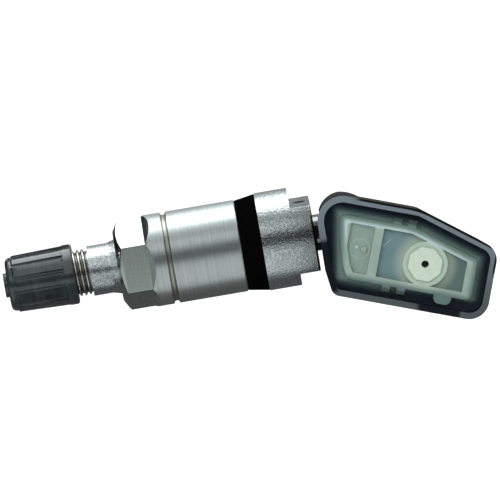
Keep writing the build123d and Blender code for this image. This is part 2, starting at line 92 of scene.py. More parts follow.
# Node trees
@dataclass(frozen=True)
class Bench:
    """A node tree with short ways to add and join nodes.

    Args:
        tree: The tree that is built.
    """

    tree: Tree

    def add(self, kind: str, inputs: Inputs | None = None, **settings: object) -> bpy.types.NodeOutputs:
        """Adds a node.

        Args:
            kind: The node's type.
            inputs: Values or links by input name or number.
            settings: The node's properties.

        Returns:
            The new node's outputs.
        """
        node = self.tree.nodes.new(kind)
        for name, setting in settings.items():
            setattr(node, name, setting)
        for key, value in (inputs or {}).items():
            socket = node.inputs[key]
            if isinstance(value, Socket):
                self.tree.links.new(value, socket)
            else:
                socket.default_value = (*value, 1.0) if socket.type == "RGBA" else value
        return node.outputs

    def calc(self, operation: str, *values: Value) -> Socket:
        """Adds a math node.

        Args:
            operation: The operation's name.
            values: Its inputs in order.

        Returns:
            The result.
        """
        return self.add("ShaderNodeMath", dict(enumerate(values)), operation=operation)[0]

    def radius(self, first: Value, second: Value) -> Socket:
        """The distance from an axis.

        Args:
            first: The distance in one direction.
            second: The distance at right angles to it.

        Returns:
            The distance.
        """
        square = self.calc("MULTIPLY", second, second)
        return self.calc("SQRT", self.calc("MULTIPLY_ADD", first, first, square))

    def ramp(self, value: Value, low: float, high: float) -> Socket:
        """A smooth step from 0 at one value to 1 at another.

        Args:
            value: The value that is stepped.
            low: Where the mask is 0.
            high: Where the mask is 1.

        Returns:
            The mask.
        """
        ends = {"Value": value, "From Min": low, "From Max": high}
        return self.add("ShaderNodeMapRange", ends, interpolation_type="SMOOTHSTEP")[0]

    def within(self, *borders: tuple[Value, float, float]) -> Socket:
        """A mask of what lies inside several soft borders.

        Args:
            borders: The arguments of each border's ramp.

        Returns:
            The mask.
        """
        mask: Value = 1.0
        for border in borders:
            mask = self.calc("MULTIPLY", mask, self.ramp(*border))
        return mask

    def spread(self, share: Value, low: Value, high: Value) -> Socket:
        """The value at a share of the way between two others.

        Args:
            share: The share from 0 to 1.
            low: The result at 0.
            high: The result at 1.

        Returns:
            The value.
        """
        return self.add("ShaderNodeMapRange", {"Value": share, "To Min": low, "To Max": high})[0]

    def blend(self, share: Value, first: Value, second: Value) -> Socket:
        """Mixes two colours.

        Args:
            share: The share of the second colour.
            first: The first colour.
            second: The second colour.

        Returns:
            The mixed colour.
        """
        return self.add("ShaderNodeMix", {0: share, 6: first, 7: second}, data_type="RGBA")[2]

    def bump(self, height: Value, strength: float, distance: float) -> Socket:
        """Adds a bump from a height.

        Args:
            height: The height from 0 to 1.
            strength: The bump's share.
            distance: The full height in metres.

        Returns:
            The normal.
        """
        return self.add("ShaderNodeBump", {"Height": height, "Strength": strength, "Distance": distance})[0]

    def effect(self, effect: Effect, **inputs: Value) -> bpy.types.NodeOutputs:
        """Adds a shared node group.

        Args:
            effect: The group.
            inputs: Values or links by input name.

        Returns:
            The group's outputs.
        """
        tree = bpy.data.node_groups.get(effect.value) or EFFECTS[effect]()
        return self.add("ShaderNodeGroup", inputs, node_tree=tree)


def new_group(
    effect: Effect, values: Iterable[str], outputs: Iterable[str]
) -> tuple[Bench, bpy.types.NodeOutputs]:
    """Starts a shared node group that takes a vector.

    Args:
        effect: The group that is made.
        values: The names of its other inputs.
        outputs: The names of its outputs.

    Returns:
        The bench and the inputs' sockets.
    """
    tree = bpy.data.node_groups.new(effect.value, "ShaderNodeTree")
    tree.interface.new_socket("Vector", in_out="INPUT", socket_type="NodeSocketVector")
    for way, names in (("INPUT", values), ("OUTPUT", outputs)):
        for name in names:
            tree.interface.new_socket(name, in_out=way, socket_type="NodeSocketFloat")
    bench = Bench(tree)
    return bench, bench.add("NodeGroupInput")


def make_grain() -> Tree:
    """Speckles of two sizes, for blasted metal and moulded skins.

    Returns:
        The node group.
    """
    bench, given = new_group(Effect.GRAIN, ("Scale",), ("Value", "Fine"))
    place, scale = given["Vector"], given["Scale"]
    coarse = bench.add("ShaderNodeTexNoise", {"Vector": place, "Scale": scale, "Detail": 3.0})[0]
    scale = bench.calc("MULTIPLY", scale, 3.3)
    fine = bench.add("ShaderNodeTexNoise", {"Vector": place, "Scale": scale, "Detail": 2.0})[0]
    fine = bench.ramp(fine, 0.3, 0.7)
    value = bench.spread(0.38, bench.ramp(coarse, 0.32, 0.68), fine)
    bench.add("NodeGroupOutput", {"Value": value, "Fine": fine})
    return bench.tree


def make_turning() -> Tree:
    """Rings round the valve axis, as a lathe tool leaves them.

    Returns:
        The node group.
    """
    bench, given = new_group(Effect.TURNING, ("Lines",), ("Value", "Height"))
    along = bench.add("ShaderNodeSeparateXYZ", {"Vector": given["Vector"]})["X"]
    step = bench.calc("MULTIPLY", along, given["Lines"])
    fine, broad = (
        bench.add("ShaderNodeTexNoise", {"W": w, "Scale": 1.0, "Detail": detail}, noise_dimensions="1D")[0]
        for w, detail in ((step, 1.0), (bench.calc("MULTIPLY", step, 0.21), 2.0))
    )
    value = bench.ramp(bench.spread(0.5, fine, broad), 0.3, 0.7)
    bench.add("NodeGroupOutput", {"Value": value, "Height": fine})
    return bench.tree


def make_place() -> Tree:
    """The place in the sensor body's own directions, in millimetres from the ball's centre.

    Edge is the distance from the carrier's outline, below 0 inside it, and Port the one from the port's axis.

    Returns:
        The node group.
    """
    bench, given = new_group(Effect.PLACE, (), ("X", "Y", "Z", "Edge", "Port"))
    inputs = {
        "Vector": given["Vector"],
        "Location": (SensorBody.ball_x, 0.0, 0.0),
        "Rotation": (0.0, math.radians(SensorBody.angle_deg), 0.0),
        "Scale": (MM, MM, MM),
    }
    place = bench.add("ShaderNodeMapping", inputs, vector_type="TEXTURE")[0]
    split = bench.add("ShaderNodeSeparateXYZ", {"Vector": place})
    edge: Value = -99.0  # Below every side's distance
    for across, up, limit in SensorBody.carrier_sides:
        rise = bench.calc("MULTIPLY_ADD", split["Z"], up, -limit)
        side = bench.calc("MULTIPLY_ADD", split["X"], across, rise)
        edge = bench.calc("SMOOTH_MAX", side, edge, SensorBody.carrier_round)
    port = (bench.calc("SUBTRACT", split[axis], middle) for axis, middle in zip("XZ", SensorBody.port))
    outputs = {axis: split[axis] for axis in "XYZ"}
    bench.add("NodeGroupOutput", {**outputs, "Edge": edge, "Port": bench.radius(*port)})
    return bench.tree


EFFECTS: dict[Effect, Callable[[], Tree]] = {
    Effect.GRAIN: make_grain,
    Effect.TURNING: make_turning,
    Effect.PLACE: make_place,
}


# Finishes
@dataclass(frozen=True)
class Finish:
    """A procedural material on Object coordinates.

    Args:
        name: The material's name.
    """

    name: str

    def material(self) -> bpy.types.Material:
        """Makes the material at its first use.

        Returns:
            The material.
        """
        made = bpy.data.materials.get(self.name)
        if made is None:
            made = bpy.data.materials.new(self.name)
            made.use_nodes = True
            made.node_tree.nodes.clear()
            bench = Bench(made.node_tree)
            coords = bench.add("ShaderNodeTexCoord")["Object"]
            bench.add("ShaderNodeOutputMaterial", {"Surface": self.shader(bench, coords)})
        return made

    def shader(self, bench: Bench, coords: Socket) -> Socket:
        """Builds the shader; see Finish.inputs for Args.

        Returns:
            The surface shader.
        """
        return bench.add("ShaderNodeBsdfPrincipled", self.inputs(bench, coords))[0]

    def inputs(self, bench: Bench, coords: Socket) -> Inputs:
        """Builds what feeds the Principled shader.

        Args:
            bench: The material's tree.
            coords: Object coordinates.

        Returns:
            Values and links by input name.
        """
        raise NotImplementedError


@dataclass(frozen=True)
class BlastedMetal(Finish):
    """Metal with a blasted, mottled skin, painted shade in the thread roots, the air outlet and towards the
    base's end by the sensor body, and painted highlights on the thread crests.

    Args:
        skin: Colours of the pits and the raised specks.
        screw: Colours of the painted shade at the thread's roots and the painted highlight on its crests.
        outlet_shade: Colour in the air outlet.
        scale: Specks to a metre.
        thread: Root and crest radius of the thread.
        thread_end: Where the thread ends along the axis.
        outlet: The air outlet's place along the axis, radius and turn.
        end_shade: Where the base darkens along the axis.
        end_shade_share: How far it darkens.
    """

    skin: Colours = ((0.34, 0.39, 0.395), (0.66, 0.74, 0.75))
    # Painted shade at the thread roots, painted highlight on the crests
    screw: Colours = ((0.15, 0.16, 0.145), (0.72, 0.73, 0.66))
    # Painted shade in the air outlet
    outlet_shade: Colour = (0.012, 0.012, 0.012)
    scale: float = 2600.0
    thread: Pair = (3.4 * MM, 3.8 * MM)
    thread_end: float = -25.3 * MM
    outlet: Triple = (10.5 * MM, MM, math.radians(3.0))
    # Painted shade where the base darkens towards the sensor body
    end_shade: Pair = (8.5 * MM, 12.2 * MM)
    end_shade_share: float = 0.7

    def inputs(self, bench: Bench, coords: Socket) -> Inputs:
        """See Finish.inputs for Args and Returns."""
        grain = bench.effect(Effect.GRAIN, Vector=coords, Scale=self.scale)
        split = bench.add("ShaderNodeSeparateXYZ", {"Vector": coords})
        # Painted shade at the thread roots and painted highlight on the crests, by radius
        crest = bench.ramp(bench.radius(split["Y"], split["Z"]), *self.thread)
        thread = bench.blend(crest, *self.screw)
        threaded = bench.ramp(split["X"], self.thread_end + SOFT, self.thread_end)
        middle, radius, turn = self.outlet
        side = bench.calc("MULTIPLY", split["Z"], math.sin(turn))
        side = bench.calc("MULTIPLY_ADD", split["Y"], math.cos(turn), side)
        away = bench.radius(side, bench.calc("SUBTRACT", split["X"], middle))
        skin = bench.blend(grain["Value"], *self.skin)
        # Painted shade in the air outlet
        skin = bench.blend(bench.ramp(away, radius + SOFT / 2, radius), skin, self.outlet_shade)
        # Painted shade: the base darkens towards its end by the sensor body
        end_shade = bench.spread(bench.ramp(split["X"], *self.end_shade), 0.0, self.end_shade_share)
        skin = bench.blend(end_shade, skin, self.skin[0])
        return {
            "Base Color": bench.blend(threaded, skin, thread),
            "Metallic": 1.0,
            "Roughness": bench.spread(grain["Value"], 0.23, 0.14),
            "Normal": bench.bump(grain["Value"], 0.65, 0.035 * MM),
        }


@dataclass(frozen=True)
class TurnedMetal(Finish):
    """Metal with lathe lines, and milled up to one place along the axis, with painted shade in its groove.

    Args:
        turned: Colours of the lines and the ridges.
        milled: Colours of the milled stretch.
        sunk: Colour of the painted shade in the groove.
        lines: Lines to a metre.
        scale: Specks to a metre.
        milled_end: Where the milled stretch ends along the axis.
        groove: The groove's ends along the axis.
        shiny: Where its end turns shiny along the axis.
        shiny_rough: Roughness of that end.
    """

    turned: Colours = ((0.4, 0.455, 0.445), (0.57, 0.64, 0.63))
    milled: Colours = ((0.395, 0.46, 0.435), (0.465, 0.53, 0.505))
    # Painted shade in the groove
    sunk: Colour = (0.36, 0.38, 0.34)
    lines: float = 9000.0
    scale: float = 2600.0
    milled_end: float = -14.9 * MM
    groove: Pair = (-12.45 * MM, -11.35 * MM)
    shiny: Pair = (-18.8 * MM, -19.6 * MM)
    shiny_rough: float = 0.08

    def inputs(self, bench: Bench, coords: Socket) -> Inputs:
        """See Finish.inputs for Args and Returns."""
        turning = bench.effect(Effect.TURNING, Vector=coords, Lines=self.lines)
        grain = bench.effect(Effect.GRAIN, Vector=coords, Scale=self.scale)
        along = bench.add("ShaderNodeSeparateXYZ", {"Vector": coords})["X"]
        turned = bench.ramp(along, self.milled_end - SOFT, self.milled_end + SOFT)
        texture = bench.spread(0.25, turning["Value"], grain["Fine"])
        first, last = self.groove
        # Painted shade in the groove
        sunk = bench.within((along, first, first + 2 * SOFT), (along, last, last - 2 * SOFT))
        colour = bench.blend(sunk, bench.blend(texture, *self.turned), self.sunk)
        milled = bench.blend(grain["Value"], *self.milled)
        shiny = bench.spread(bench.ramp(along, *self.shiny), 1.0, self.shiny_rough)
        rough = bench.calc("MINIMUM", bench.spread(grain["Value"], 0.22, 0.28), shiny)
        return {
            "Base Color": bench.blend(turned, milled, colour),
            "Metallic": 1.0,
            "Roughness": bench.spread(turned, rough, bench.spread(texture, 0.4, 0.3)),
            "Normal": bench.bump(bench.calc("MULTIPLY", turning["Height"], turned), 0.25, 0.02 * MM),
        }


@dataclass(frozen=True)
class Coated(Finish):
    """A plain moulded, plated or polished skin with a faint grain.

    Args:
        colours: The grain's darker and lighter colour.
        scale: Specks to a metre.
        rough: Roughness.
        metallic: 1 for metal, 0 for other matter.
        relief: The grain's height.
        shine: Specular level of other matter.
    """

    colours: Colours
    scale: float
    rough: float
    metallic: float = 0.0
    relief: float = 0.01 * MM
    shine: float = 0.5

    def inputs(self, bench: Bench, coords: Socket) -> Inputs:
        """See Finish.inputs for Args and Returns."""
        grain = bench.effect(Effect.GRAIN, Vector=coords, Scale=self.scale)
        return {
            "Base Color": bench.blend(grain["Value"], *self.colours),
            "Metallic": self.metallic,
            "Specular IOR Level": self.shine,
            "Roughness": bench.spread(grain["Value"], self.rough * 1.15, self.rough * 0.85),
            "Normal": bench.bump(grain["Fine"], 0.3, self.relief),
        }


@dataclass(frozen=True)
class SmokedPlastic(Finish):
    """Smoked glossy plastic under a clear coat.

    Args:
        smoke: Colours of the smoke.
        tint: Colour of its reflections.
        scale: Clouds of smoke to a metre.
        lines: Rings to a metre.
    """

    smoke: Colours = ((0.011, 0.014, 0.0145), (0.037, 0.046, 0.046))
    tint: Colour = (0.75, 0.9, 1.0)
    scale: float = 500.0
    lines: float = 1300.0

    def inputs(self, bench: Bench, coords: Socket) -> Inputs:
        """See Finish.inputs for Args and Returns."""
        smoke = bench.effect(Effect.GRAIN, Vector=coords, Scale=self.scale)["Value"]
        turns = bench.effect(Effect.TURNING, Vector=coords, Lines=self.lines)["Value"]
        mixed = bench.spread(0.5, smoke, turns)
        return {
            "Base Color": bench.blend(mixed, *self.smoke),
            "Roughness": bench.spread(mixed, 0.26, 0.12),
            "Normal": bench.bump(mixed, 0.55, 0.03 * MM),
            "Specular Tint": self.tint,
            "Coat Weight": 0.6,
            "Coat Roughness": 0.06,
        }


@dataclass(frozen=True)
class MouldedCup(Finish):
    """Black moulding with a paler rim, which is painted lighter towards the top, painted black with shade
    along its upper side, and wet with resin in two places.

    Args:
        skin: Colours of the walls.
        rim: Colours of the rim's bottom and top, the top painted lighter as light falls from above.
        resin: Colour of the rim under resin.
        rim_y: The rim face's depth in millimetres.
        scale: Specks to a metre.
        sway: Sway of the resin's border in millimetres.
        sway_scale: Sways to a metre.
    """

    skin: Colours = ((0.004, 0.0042, 0.0045), (0.006, 0.0063, 0.00675))
    # Painted light: the rim is lighter towards the top
    rim: Colours = ((0.08, 0.098, 0.105), (0.18, 0.225, 0.25))
    resin: Colour = (0.008, 0.011, 0.016)
    rim_y: float = -9.0
    scale: float = 2200.0
    sway: float = 0.5
    sway_scale: float = 420.0

    def inputs(self, bench: Bench, coords: Socket) -> Inputs:
        """See Finish.inputs for Args and Returns."""
        grain = bench.effect(Effect.GRAIN, Vector=coords, Scale=self.scale)
        place = bench.effect(Effect.PLACE, Vector=coords)
        wave = bench.add("ShaderNodeTexNoise", {"Vector": coords, "Scale": self.sway_scale, "Detail": 1.0})[0]
        sway = bench.spread(wave, -self.sway, self.sway)
        across = bench.calc("ADD", place["X"], sway)
        down = bench.calc("ADD", place["Z"], sway)
        left = bench.within((down, -1.0, -2.0), (across, 1.8, 0.8), (down, -10.0, -9.3))
        low = bench.within((across, 14.0, 15.0), (across, 21.8, 21.0), (place["Z"], -7.9, -8.3))
        wet = bench.calc("MAXIMUM", left, low)
        dry = bench.calc("SUBTRACT", 1.0, wet)
        # Painted shade: the rim is black along its upper side
        upper = bench.within((place["Edge"], 2.58, 2.68), (place["Z"], -3.0, -1.5), (place["X"], 0.5, 2.5))
        face = bench.ramp(place["Y"], self.rim_y + 0.12, self.rim_y + 0.04)
        face = bench.calc("MULTIPLY", face, bench.calc("SUBTRACT", 1.0, upper))
        # Painted light: the rim is lighter towards the top
        rim = bench.blend(bench.ramp(place["Z"], -9.0, 5.0), *self.rim)
        skin = bench.blend(grain["Value"], *self.skin)
        return {
            "Base Color": bench.blend(face, skin, bench.blend(wet, rim, self.resin)),
            "Roughness": bench.spread(bench.calc("MULTIPLY", dry, grain["Value"]), 0.25, 0.6),
            "Specular IOR Level": 0.09,
            "Normal": bench.bump(bench.calc("MULTIPLY", grain["Fine"], dry), 0.25, 0.02 * MM),
        }


@dataclass(frozen=True)
class ClearResin(Finish):
    """Clear cast resin that lets lamps through to what lies in it.

    Args:
        tint: Colour of the light that goes through.
        scale: Swells of the surface to a metre.
    """

    tint: Colour = (0.88, 0.94, 0.93)
    scale: float = 260.0

    def inputs(self, bench: Bench, coords: Socket) -> Inputs:
        """See Finish.inputs for Args and Returns."""
        swell = bench.add("ShaderNodeTexNoise", {"Vector": coords, "Scale": self.scale, "Detail": 1.0})[0]
        return {
            "Base Color": self.tint,
            "Roughness": bench.spread(swell, 0.1, 0.14),
            "IOR": 1.45,
            "Transmission Weight": 1.0,
            "Normal": bench.bump(swell, 0.08, 0.08 * MM),
        }

    def shader(self, bench: Bench, coords: Socket) -> Socket:
        """See Finish.shader for Args and Returns."""
        body = super().shader(bench, coords)
        through = bench.add("ShaderNodeBsdfTransparent", {"Color": self.tint})[0]
        path = bench.add("ShaderNodeLightPath")
        passing = bench.calc("MAXIMUM", path["Is Shadow Ray"], path["Is Diffuse Ray"])
        return bench.add("ShaderNodeMixShader", {0: passing, 1: body, 2: through})[0]


@dataclass(frozen=True)
class ResinDepth(Finish):
    """The deep resin: dark, and paler where light spreads from the carrier and the port.

    Args:
        deep: Colour of the moat round the carrier.
        glow: Colour in the moat near the carrier.
        near: Colour right beside the carrier's edge.
        window: Colour of the middle window.
        side: Colour of the right window.
        halo: Colour beside the port's ring.
        scale: Clouds to a metre.
    """

    deep: Colour = (0.011, 0.0165, 0.027)
    glow: Colour = (0.085, 0.125, 0.13)
    near: Colour = (0.25, 0.32, 0.3)
    window: Colour = (0.25, 0.375, 0.405)
    side: Colour = (0.195, 0.265, 0.26)
    halo: Colour = (0.5, 0.55, 0.46)
    scale: float = 300.0

    def inputs(self, bench: Bench, coords: Socket) -> Inputs:
        """See Finish.inputs for Args and Returns."""
        place = bench.effect(Effect.PLACE, Vector=coords)
        edge = place["Edge"]
        cloud = bench.add("ShaderNodeTexNoise", {"Vector": coords, "Scale": self.scale, "Detail": 2.0})[0]
        tone = bench.blend(bench.ramp(place["X"], 15.0, 17.0), self.window, self.side)
        tone = bench.blend(bench.spread(cloud, 0.0, 0.3), tone, self.deep)
        tone = bench.blend(bench.spread(bench.ramp(edge, -2.3, -1.1), 0.0, 0.5), tone, self.side)
        tone = bench.blend(bench.ramp(place["Port"], 5.8, 3.3), tone, self.halo)
        # The light reaches less far below the middle of the carrier
        shade = bench.within((place["X"], 9.0, 14.0), (place["Z"], -6.9, -7.6))
        far = bench.calc("MULTIPLY_ADD", shade, 0.7, edge)
        moat = bench.blend(bench.ramp(far, 1.5, 0.2), self.deep, self.glow)
        moat = bench.blend(bench.ramp(far, 0.8, -0.2), moat, self.near)
        return {
            "Base Color": bench.blend(bench.ramp(edge, -0.2, -0.7), moat, tone),
            "Roughness": bench.spread(cloud, 0.5, 0.7),
            "Specular IOR Level": 0.0,
        }


@dataclass(frozen=True)
class Buried(Finish):
    """Pale translucent moulding that dims with its depth and towards its outline, with painted light round the
    port and a painted highlight along the upper rib.

    Args:
        skin: Colours just under the surface.
        port_glow: Colour round the port.
        rib_highlight: Colour along the upper rib.
        haze: Colour deep in the resin.
        tab: Colour of the clips beyond the outline.
        depth: Depth of the clear and the hazy end in millimetres.
        glow: Share of light that comes back out.
        scale: Specks to a metre.
    """

    skin: Colours = ((0.3784, 0.4558, 0.4042), (0.44, 0.53, 0.47))
    # Painted light round the port
    port_glow: Colour = (0.58, 0.66, 0.56)
    # Painted highlight along the upper rib
    rib_highlight: Colour = (0.62, 0.74, 0.75)
    haze: Colour = (0.15, 0.21, 0.2)
    tab: Colour = (0.045, 0.062, 0.06)
    depth: Pair = (-8.1, -3.4)
    glow: float = 0.1
    scale: float = 420.0

    def inputs(self, bench: Bench, coords: Socket) -> Inputs:
        """See Finish.inputs for Args and Returns."""
        place = bench.effect(Effect.PLACE, Vector=coords)
        edge = place["Edge"]
        grain = bench.effect(Effect.GRAIN, Vector=coords, Scale=self.scale)["Value"]
        depth = bench.ramp(place["Y"], *self.depth)
        outer = bench.spread(bench.ramp(edge, -1.15, -0.05), 0.0, 0.95)
        clip = bench.spread(bench.within((edge, 0.1, 0.6), (place["X"], 15.5, 15.0)), 0.0, 0.85)
        colour = bench.blend(grain, *self.skin)
        # Painted light: paler round the port
        colour = bench.blend(bench.ramp(place["Port"], 5.0, 3.4), colour, self.port_glow)
        # Painted highlight along the upper rib
        upper = bench.within((edge, -1.4, -1.1), (edge, -0.5, -0.85), (place["Z"], -3.0, 1.5))
        colour = bench.blend(upper, colour, self.rib_highlight)
        colour = bench.blend(bench.calc("MAXIMUM", depth, outer), colour, self.haze)
        return {
            "Base Color": bench.blend(clip, colour, self.tab),
            "Roughness": bench.spread(grain, 0.45, 0.6),
            "Specular IOR Level": 0.1,
            "Subsurface Weight": self.glow,
            "Subsurface Scale": 0.5 * MM,
        }


BLASTED = BlastedMetal("blasted_aluminium")
TURNED = TurnedMetal("turned_aluminium")
SMOKED = SmokedPlastic("smoked_plastic")
CUP = MouldedCup("moulded_cup")
CLEAR = ClearResin("clear_resin")
DEEP = ResinDepth("deep_resin")
CARRIER = Buried("hazy_carrier")
POLISHED = Coated("polished_steel", ((0.17, 0.178, 0.178), (0.21, 0.22, 0.22)), 1500.0, 0.05, 1.0, 0.001 * MM)
RUBBER = Coated("black_rubber", ((0.0014, 0.0014, 0.0016), (0.0026, 0.0026, 0.0028)), 1800.0, 0.62, shine=0.0)
BOSS = Coated("white_moulding", ((0.58, 0.71, 0.59), (0.66, 0.79, 0.66)), 900.0, 0.42)
BRASS = Coated("turned_brass", ((0.58, 0.45, 0.22), (0.72, 0.58, 0.3)), 2600.0, 0.25, 1.0)
SPRING = Coated("spring_wire", ((0.46, 0.46, 0.45), (0.6, 0.6, 0.58)), 3000.0, 0.3, 1.0)
RED_SEAL = Coated("red_gasket", ((0.27, 0.03, 0.02), (0.36, 0.045, 0.03)), 1800.0, 0.55)
BOARD = Coated("solder_mask", ((0.014, 0.085, 0.065), (0.02, 0.12, 0.09)), 700.0, 0.35)
CHIP = Coated("black_moulding", ((0.012, 0.012, 0.014), (0.02, 0.02, 0.022)), 2600.0, 0.5)
CERAMIC = Coated("ceramic", ((0.28, 0.19, 0.11), (0.36, 0.25, 0.15)), 2600.0, 0.5)
FERRITE = Coated("ferrite_and_wire", ((0.05, 0.04, 0.035), (0.1, 0.06, 0.04)), 1900.0, 0.4)
PLATED = Coated("plated_strip", ((0.54, 0.53, 0.5), (0.66, 0.65, 0.6)), 1400.0, 0.28, 1.0)
FAINT = Coated("buried_wire", ((0.42, 0.51, 0.51), (0.5, 0.6, 0.6)), 1400.0, 0.6)
MARK = Coated("pale_mark", ((0.42, 0.51, 0.455), (0.46, 0.555, 0.5)), 1400.0, 0.6)
MEMBRANE = Coated("filter_membrane", ((0.03, 0.03, 0.032), (0.06, 0.06, 0.062)), 3800.0, 0.8)


# Meshes
def copy_of(node: str) -> Mesh:
    """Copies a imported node's mesh, merged into clean faces.

    Args:
        node: The node's name.

    Returns:
        The copy.
    """
    mesh = bmesh.new()
    mesh.from_mesh(bpy.data.objects[node].data)
    bmesh.ops.remove_doubles(mesh, verts=mesh.verts, dist=0.002 * MM)
    bmesh.ops.dissolve_limit(mesh, angle_limit=math.radians(0.4), verts=mesh.verts, edges=mesh.edges)
    bmesh.ops.recalc_face_normals(mesh, faces=mesh.faces)
    return mesh


def soften(mesh: Mesh, width: float, angle_deg: float = 28.0, segments: int = 2) -> None:
    """Bevels the sharp edges.

    Args:
        mesh: The mesh that is changed.
        width: The bevel's width.
        angle_deg: Edges that turn by more are sharp.
        segments: Steps across a bevel.
    """
    limit = math.radians(angle_deg)
    sharp = [edge for edge in mesh.edges if edge.calc_face_angle(0.0) > limit]
    bmesh.ops.bevel(
        mesh, geom=sharp, offset=width, offset_type="OFFSET", segments=segments, profile=0.5,
        affect="EDGES", clamp_overlap=True, material=-1,
    )
    bmesh.ops.remove_doubles(mesh, verts=mesh.verts, dist=0.0005 * MM)
    bmesh.ops.recalc_face_normals(mesh, faces=mesh.faces)


def new_object(mesh: Mesh, name: str, finish: Finish) -> Object:
    """Makes an object from a mesh.

    Args:
        mesh: The mesh, which is used up.
        name: The object's name.
        finish: Its finish.

    Returns:
        The object.
    """
    data = bpy.data.meshes.new(name)
    mesh.to_mesh(data)
    mesh.free()
    data.materials.append(finish.material())
    made = bpy.data.objects.new(name, data)
    bpy.context.scene.collection.objects.link(made)
    return made


def put(mesh: Mesh, name: str, finish: Finish, body: Body, replaces: str = "") -> Object:
    """Makes a finished piece from a mesh.

    Args:
        mesh: The mesh, which is used up.
        name: The piece's name.
        finish: Its finish.
        body: The body that it rides on.
        replaces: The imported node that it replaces, if any.

    Returns:
        The piece.
    """
    bmesh.ops.recalc_face_normals(mesh, faces=mesh.faces)
    for face in mesh.faces:
        face.smooth = True
    for edge in mesh.edges:
        edge.smooth = edge.calc_face_angle(0.0) < math.radians(38.0)
    piece = new_object(mesh, name, finish)
    piece.modifiers.new("weighted normals", "WEIGHTED_NORMAL").keep_sharp = True
    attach(piece, body.value)
    if replaces:
        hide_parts(replaces)
    LOG.info("piece %s: %d faces on %s", name, len(piece.data.polygons), body.value)
    return piece


def stand_in(node: str, name: str, finish: Finish, body: Body, width: float = 0.0, **bevel: float) -> Object:
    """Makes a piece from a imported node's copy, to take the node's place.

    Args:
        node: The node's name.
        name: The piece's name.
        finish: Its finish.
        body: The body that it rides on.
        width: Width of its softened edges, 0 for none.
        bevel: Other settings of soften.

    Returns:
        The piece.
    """
    mesh = copy_of(node)
    if width:
        soften(mesh, width, **bevel)
    return put(mesh, name, finish, body, node)


def dress(finish: Finish, *nodes: str) -> None:
    """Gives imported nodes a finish.

    Args:
        finish: The finish.
        nodes: The nodes' names.
    """
    for node in nodes:
        data = bpy.data.objects[node].data
        data.materials.clear()
        data.materials.append(finish.material())
        LOG.info("node %s: %s", node, finish.name)


# Sub-assemblies
@dataclass(frozen=True)
class Thread:
    """A screw thread round the valve axis.

    Args:
        name: The name of its ridge.
        root: Root radius.
        crest: Crest radius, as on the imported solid.
        pitch: Pitch.
        span: Its ends along the axis.
        past: How far the root goes on beyond both ends.
        sink: The ridge's reach below the root.
        foot: Half its foot's width in pitches.
        flat: Half its crest's width in pitches.
        steps: Steps to a turn.
    """

    name: str
    root: float
    crest: float
    pitch: float
    span: Pair
    past: Pair
    sink: float = 0.1 * MM
    foot: float = 0.46
    flat: float = 0.08
    steps: int = 64

    def turn_down(self, mesh: Mesh) -> None:
        """Moves the solid's round stretch from the crest to the root.

        Args:
            mesh: The solid's mesh.
        """
        start, end = self.span[0] - self.past[0], self.span[1] + self.past[1]
        for vert in mesh.verts:
            radius = math.hypot(vert.co.y, vert.co.z)
            if start <= vert.co.x <= end and abs(radius - self.crest) < 0.03 * MM:
                vert.co.y *= self.root / self.crest
                vert.co.z *= self.root / self.crest

    def ridge(self) -> Mesh:
        """Builds the closed helical ridge, run out at both ends.

        Returns:
            The ridge.
        """
        mesh = bmesh.new()
        start, end = self.span
        sunk = self.root - self.sink
        section = ((-self.foot, sunk), (-self.flat, self.crest), (self.flat, self.crest), (self.foot, sunk))
        verts = [mesh.verts.new((start + self.pitch * along, 0.0, radius)) for along, radius in section]
        edges = [mesh.edges.new((verts[index - 1], verts[index])) for index in range(len(verts))]
        turns = (end - start) / self.pitch
        steps = round(self.steps * turns)
        bmesh.ops.spin(
            mesh, geom=verts + edges, cent=(0.0, 0.0, 0.0), axis=(1.0, 0.0, 0.0), angle=math.tau * turns,
            dvec=((end - start) / steps, 0.0, 0.0), steps=steps, use_merge=False, use_duplicate=False,
        )
        bmesh.ops.holes_fill(mesh, edges=[edge for edge in mesh.edges if edge.is_boundary], sides=0)
        for vert in mesh.verts:
            radius = math.hypot(vert.co.y, vert.co.z)
            run = min(vert.co.x - start, end - vert.co.x) / self.pitch + 0.5
            new = sunk + (radius - sunk) * min(1.0, max(0.1, run))
            vert.co.y *= new / radius
            vert.co.z *= new / radius
        return mesh


